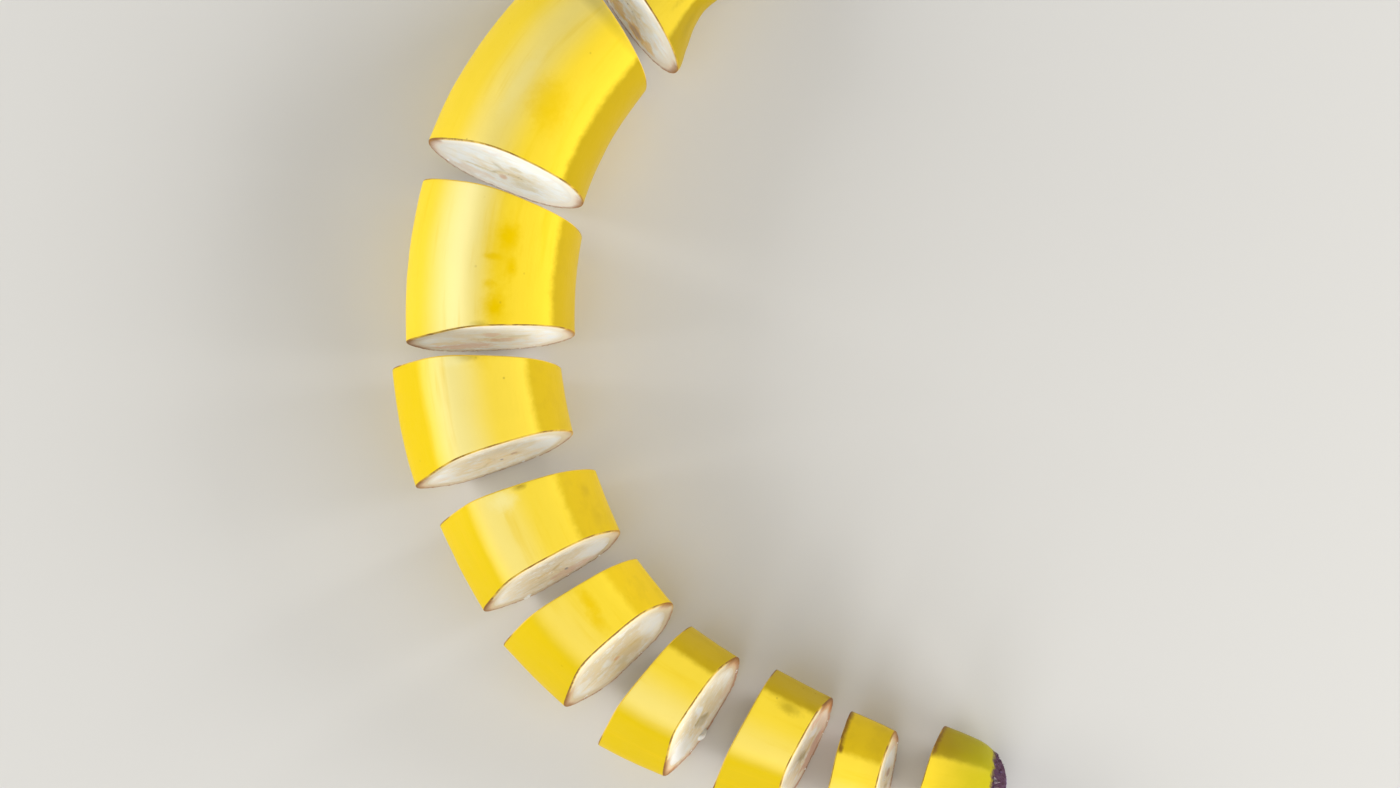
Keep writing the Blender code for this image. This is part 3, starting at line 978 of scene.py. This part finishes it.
fleshLook = {
    "cream": tint(250, 248, 236),
    # white: the flesh's whiter patches, and painted light in the marks
    "white": tint(249, 254, 255),
    "tan": tint(238, 216, 160),
    "stain": tint(186, 134, 36),
    "olive": tint(176, 158, 84),
    "core": tint(220, 205, 152),
    "dull": tint(208, 193, 150),
    "straw": tint(228, 206, 136),
    "rust": tint(208, 142, 66),
    # gold: a stain made lighter as painted light, where the stalk end's cut lies in shade
    "gold": tint(240, 194, 36),
    "ripe": tint(238, 228, 202),
    "orange": tint(220, 168, 108),
    "pink": tint(228, 196, 156),
    "brown": tint(120, 88, 54),
    "roughness": 0.42,
    "surface": {
        "Sheen Weight": 0.42, "Sheen Roughness": 0.5, "Subsurface Weight": 0.2,
        "Subsurface Radius": (1, 0.8, 0.55), "Subsurface Scale": 0.002,
    },
    # marks on the far face of a piece: number, place across and up, half width, half height, finish,
    # strength; the white marks are painted light where a neighbouring piece shades the face or a wet
    # highlight shows
    "marks": (
        (0, 5, -9, 8.6, 5.6, "gold", 0.95), (0, -3, -9.5, 5.4, 5, "gold", 1),
        (0, -3.4, -9.6, 3.4, 2.2, "stain", 0.9), (0, -7.6, -9, 3.2, 4.4, "gold", 0.8),
        (1, 0.6, -4.6, 1.3, 2.6, "orange", 0.9), (1, 5.6, -3.9, 5.4, 1.3, "core", 0.9),
        (1, -1.9, 5.6, 2, 2.6, "core", 0.8), (1, -4.8, -6, 4.4, 4, "core", 0.7),
        (1, 8, -9, 7, 4, "pink", 0.5), (2, 6.4, -8, 8.6, 5.2, "orange", 0.85),
        (2, 9.6, -3.4, 5, 3, "tan", 0.9), (2, -0.6, 5.6, 2.2, 3.6, "orange", 0.6),
        (2, -2.6, -2.4, 3.6, 3.6, "orange", 0.6), (2, -6, 1.6, 4, 1.4, "core", 0.9),
        (3, -1, 1, 6, 6, "tan", 0.6), (3, -10.8, -1, 4.4, 5, "white", 0.8),
        (3, -4.5, -0.4, 1.1, 2, "stain", 0.8), (3, -1.5, -2.7, 0.5, 1.2, "brown", 1),
        (3, 4.4, -5.2, 3.6, 1.2, "core", 0.9), (4, -1.4, -8.6, 5.6, 5.6, "tan", 0.9),
        (4, -4.4, -10, 7, 5, "orange", 0.85), (4, 0.6, -8.6, 1.4, 2.2, "orange", 0.6),
        (4, -2.9, -6.4, 0.6, 1.4, "brown", 1), (4, 4.2, -7, 4.4, 1.5, "core", 0.9),
        (4, 3, -3.6, 3.8, 1.2, "core", 0.7), (4, -9.6, -2.6, 4, 7, "white", 0.8),
        (4, -12.7, -6, 3.6, 4, "white", 0.9), (5, -3.6, -4, 4.6, 6, "straw", 0.9),
        (5, 0.4, -7, 2.2, 3, "core", 0.9), (5, 0.9, -1.8, 1.2, 1, "orange", 0.8),
        (5, 2.3, -11, 3.4, 3, "straw", 0.9), (5, 3, 1, 1.6, 4, "white", 0.7),
        (5, -9, -1, 3.6, 8, "white", 0.6), (5, 6.4, -1.4, 4.6, 1.2, "core", 0.8),
        (6, -3.6, -5, 4.2, 6.6, "straw", 0.5), (6, 0.9, -2.7, 2.6, 4.4, "olive", 0.7),
        (6, -1.4, 5, 1.6, 4, "white", 0.9), (6, 8.4, -1, 5, 9, "white", 0.7),
        (6, -5, 2.6, 2.6, 3.4, "core", 0.7), (6, -7, -9, 4, 4, "pink", 0.6),
        (7, 0.2, -8, 5, 6, "rust", 0.9), (7, -3.6, -8.6, 4.6, 7, "rust", 1),
        (7, -8.6, -2, 3.4, 8, "pink", 0.9), (7, -8.4, 6.8, 3.2, 4.4, "rust", 0.8),
        (7, -5.4, 1.6, 1.6, 3.6, "white", 0.9), (7, 0.4, 1.1, 2.4, 5.4, "olive", 0.8),
        (8, -9.2, 1, 1.8, 5, "orange", 0.6), (8, -5.6, 0, 2.6, 8, "white", 0.9),
        (8, -3, -1.6, 1.3, 3.2, "stain", 1), (8, 1, -7, 3.6, 3, "pink", 0.4),
    ),
}


def fleshFace():
    paint, look = coat("banana_flesh"), fleshLook
    bench, place = paint.bench, paint.place
    onFace = bench.attribute("onFace", "FLOAT_VECTOR")
    _, _, pith = bench.attribute("edges", "FLOAT_VECTOR").parts()
    station = bench.attribute("station")
    far = (onFace * (1, 1, 0)).size()
    deep = pith + far / bench.sum("MAXIMUM", bench.attribute("rim"), 0.2) - far
    patches = onFace.noise(0.16, 3, 0.55)
    clouds = (onFace + (0, 0, 31)).noise(0.36, 3, 0.55)
    smears = (onFace * (0.1, 0.3, 1)).noise(1, 3, 0.5)
    mottle = (onFace + (0, 0, 57)).noise(0.5, 4, 0.62)
    ragged = place.noise(0.8, 4, 0.6) - 0.5
    heart = (far + (clouds - 0.5) * 10).soft(3, 10.5, 1, 0)
    # between its two ends a later cut has turned cream, and beside the upper peel it is duller, partly stain
    # and partly painted shade
    across, up, _ = onFace.parts()
    middle = bench.sum("ABSOLUTE", across) + (clouds - 0.5) * 8
    turned = station.spread(45, 90) * middle.spread(7, 12, 1, 0)
    upperStainAndShade = (up + (patches - 0.5) * 8).spread(-1, 9, 0, 0.8)
    # seeds no more than specks, close to the middle
    seeds = bench.add("ShaderNodeTexVoronoi", {"Vector": onFace, "Scale": 0.75}, out="Distance")
    seeds = seeds.spread(0.1, 0.2, 1, 0) * far.spread(2, 5.5, 0.6, 0)
    paint.colour = look["cream"]
    paint.lay(
        look,
        (clouds.spread(0.42, 0.58), "white"),
        # painted shade: the cut faces grow darker and warmer towards the tip
        (station.spread(70, 150, 0, 0.6), "ripe"),
        (heart * patches.spread(0.42, 0.6, 0.2, 0.9), "tan"),
        (patches.spread(0.56, 0.66, 0, 0.35) * (1 - heart), "pink"),
        (smears.spread(0.54, 0.66, 0, 0.45), "white"),
        (smears.spread(0.46, 0.36, 0, 0.25), "core"),
        (bench.attribute("star") * 0.45, "core"),
        (turned * 0.45, "tan"),
        (turned * upperStainAndShade, "dull"),
        (mottle.spread(0.5, 0.6, 0, 0.5) * turned, "straw"),
        (mottle.spread(0.47, 0.38, 0, 0.6) * turned, "white"),
        (seeds, "brown"),
        ((deep - pith).soft(0, 1.6, 1, 0), pithTone(bench)),  # like the pith it touches
    )
    for number, markU, markV, halfWidth, halfHeight, name, strength in look["marks"]:
        layer = number * fruit["pieceStride"] + fruit["faceStride"]
        away = (onFace - (markU, markV, layer)) * (1 / halfWidth, 1 / halfHeight, 1)
        away = away.size() + (ragged * 0.6 + (clouds - 0.5) * 1.6) * min(1, halfWidth / 3)
        paint.lay(look, (away.soft(0.4, 1, 1, 0) * strength, name))
    # painted shade: the cut faces at the first slice's far end are a little darker than the rest
    paint.dim(station.spread(5, 30, 1, 0.9) + station.spread(42, 55, 0, 0.1))
    layRim(paint, deep, 0)
    rough = patches.spread(0.3, 0.7, look["roughness"] - 0.08, look["roughness"] + 0.12)
    return paint.done(rough, smears * 0.6 + clouds, 0.00012, look["surface"])


# The strands of the stalk's end, the scar and the shreds beside it
strandLooks = {
    "dry": dict(name="dry_brown", dark=tint(54, 34, 26), pale=tint(128, 92, 60), scale=1.1,
                between=(0.3, 0.7), rough=0.75, depth=0.0003),
    "scar": dict(name="blossom_scar", dark=tint(44, 24, 46), pale=tint(118, 88, 138), scale=1.4,
                 between=(0.32, 0.66), rough=0.7, depth=0.0003),
    "papery": dict(name="papery_fringe", dark=tint(92, 74, 86), pale=tint(158, 142, 144), scale=1.4,
                   between=(0.32, 0.66), rough=0.8, depth=0.0002),
}


def strands(look):
    paint = coat(look["name"])
    grain = paint.place.noise(look["scale"], 4, 0.65)
    paint.colour = look["dark"]
    paint.lay(look, (grain.spread(*look["between"]), "pale"))
    return paint.done(look["rough"], grain, look["depth"])


finish = {"skin": peelSkin(), "rim": peelCut(), "flesh": fleshFace()}
finish.update((name, strands(look)) for name, look in strandLooks.items())
print("materials made:", len(finish))

section = sectionTree()
skin = skinTree(section)
knife = knifeTree(skin)
relief = reliefTree()
wrap = wrapTree(skin, knife, relief)
fringe = fringeTree(skin)
crumble = crumbTree(skin, knife)
print("trees made")


def addPiece(thing, slot, move, *nodes):
    thing.data.transform(Matrix.Translation(move))
    shape = bmesh.new()
    shape.from_mesh(thing.data)
    bmesh.ops.recalc_face_normals(shape, faces=shape.faces)
    shape.to_mesh(thing.data)
    shape.free()
    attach(thing, "root")
    if nodes:
        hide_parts(*nodes)


def boxMiddle(points):
    return Vector([(min(p[a] for p in points) + max(p[a] for p in points)) / 2 for a in range(3)])


def dressPiece(number, piece, start, end, heading):
    name = piece["name"]
    line = middleLine(piece, start, heading)
    roll, lineStart = math.radians(piece["roll"]), start - fruit["cutReach"]
    about = {"Middle Line": line, "Line Start": lineStart, "Roll": roll}
    farKnife = knifeNormal(piece, end, start, heading, "far")
    nearIsCut, farIsCut = cutEnds(piece)
    settings = {
        **about,
        "Near Station": start,
        "Far Station": end,
        "Near Knife": knifeNormal(piece, start, start, heading, "near"),
        "Far Knife": farKnife,
        "Tone": piece["tone"],
        "Seed": float(number),
        "Near Is Cut": float(nearIsCut),
        "Far Is Cut": float(farIsCut),
    }
    endLook = finish["scar"] if nearIsCut else finish["dry"]
    peelLook = {"Body": finish["skin"], "Cut": finish["rim"], "End": endLook}
    fleshSkin = dict.fromkeys(peelLook, finish["flesh"])
    peel = madeBy(wrap, peelBlank(piece), {**settings, **peelLook}, name + "_peel")
    flesh = madeBy(wrap, fleshBlank(piece), {**settings, **fleshSkin}, name + "_flesh")
    low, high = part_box(name)
    move = (low + high) / 2 - boxMiddle([v.co for v in peel.data.vertices])
    move.z = 0
    addPiece(peel, "peel", move, name)
    addPiece(flesh, "flesh", move, name)
    extras = []
    for tuft in fringes.get(name, ()):
        given = {**tuft, **about, "Material": finish[tuft["Material"]]}
        extras.append((fringe, given.pop("Name"), given, "fibre"))
    dropped = {"crumbs": crumbs["all"]} if farIsCut else {}
    if name in crumbs:
        dropped["flap"] = crumbs[name]
    for label, shape in dropped.items():
        given = {**shape, **about, "Station": end, "Knife": farKnife, "Seed": crumbSeed + number}
        extras.append((crumble, label, {**given, "Material": finish["flesh"]}, "flesh"))
    for tree, label, given, slot in extras:
        label = name + "_" + label
        addPiece(madeBy(tree, bpy.data.meshes.new(label), given, label), slot, move)
    bpy.data.objects.remove(line)
    print(name, "made:", len(peel.data.polygons), "and", len(flesh.data.polygons), "faces")


start = -float(slices[0]["length"])
heading = math.radians(fruit["stemHeading"]) + turnAt(start)
for number, piece in enumerate(slices):
    heading += math.radians(piece["turn"])
    end = start + piece["length"]
    dressPiece(number, piece, start, end, heading)
    heading += turnAt(end) - turnAt(start)
    start = end

studio = {
    "floorSize": 4,
    "lens": 85,
    "sensor": 36,
    "cameraAt": (-0.0003, -0.0068, 0.722),
    "floor": tint(206, 204, 199),
    "floorRoughness": 0.8,
    "sky": (1, 1, 1, 1),
    "ambient": 0.3,
    # softboxes: azimuth from the right, elevation, power, size; each a metre away
    "lights": (
        (15, 18, 8.3, 0.6), (172, 18, 9, 0.6), (315, 18, 7.1, 0.6), (262, 18, 3.7, 0.6),
        (225, 70, 1.1, 0.5),
    ),
}


def areaLight(name, azimuth, elevation, power, size):
    light = bpy.data.lights.new(name, "AREA")
    light.energy = power
    light.size = size
    thing = bpy.data.objects.new(name, light)
    around, up = math.radians(azimuth), math.radians(elevation)
    thing.location = (math.cos(around) * math.cos(up), math.sin(around) * math.cos(up), math.sin(up))
    bpy.context.scene.collection.objects.link(thing)
    thing.rotation_mode = "QUATERNION"
    thing.rotation_quaternion = (Vector((0, 0, 0.01)) - thing.location).to_track_quat("-Z", "Y")


def dressStudio():
    scene, half = bpy.context.scene, studio["floorSize"] / 2
    mesh = bpy.data.meshes.new("studio_floor")
    corners = [(-half, -half, 0), (half, -half, 0), (half, half, 0), (-half, half, 0)]
    mesh.from_pydata(corners, [], [(0, 1, 2, 3)])
    floor = bpy.data.objects.new("studio_floor", mesh)
    scene.collection.objects.link(floor)
    pale = bpy.data.materials.new("pale_floor")
    pale.use_nodes = True
    surface = pale.node_tree.nodes["Principled BSDF"].inputs
    surface["Base Color"].default_value = studio["floor"]
    surface["Roughness"].default_value = studio["floorRoughness"]
    mesh.materials.append(pale)
    for number, light in enumerate(studio["lights"]):
        areaLight(f"softbox_{number}", *light)
    scene.world = scene.world or bpy.data.worlds.new("soft_world")
    scene.world.use_nodes = True
    sky = scene.world.node_tree.nodes["Background"]
    sky.inputs["Color"].default_value = studio["sky"]
    sky.inputs["Strength"].default_value = studio["ambient"]
    scene.view_settings.view_transform = "Standard"
    scene.view_settings.look = "None"
    eye = bpy.data.cameras.new("camera")
    eye.lens, eye.sensor_width = studio["lens"], studio["sensor"]
    camera = bpy.data.objects.new("camera", eye)
    camera.location = studio["cameraAt"]
    scene.collection.objects.link(camera)
    scene.camera = camera


dressStudio()
print("studio made")
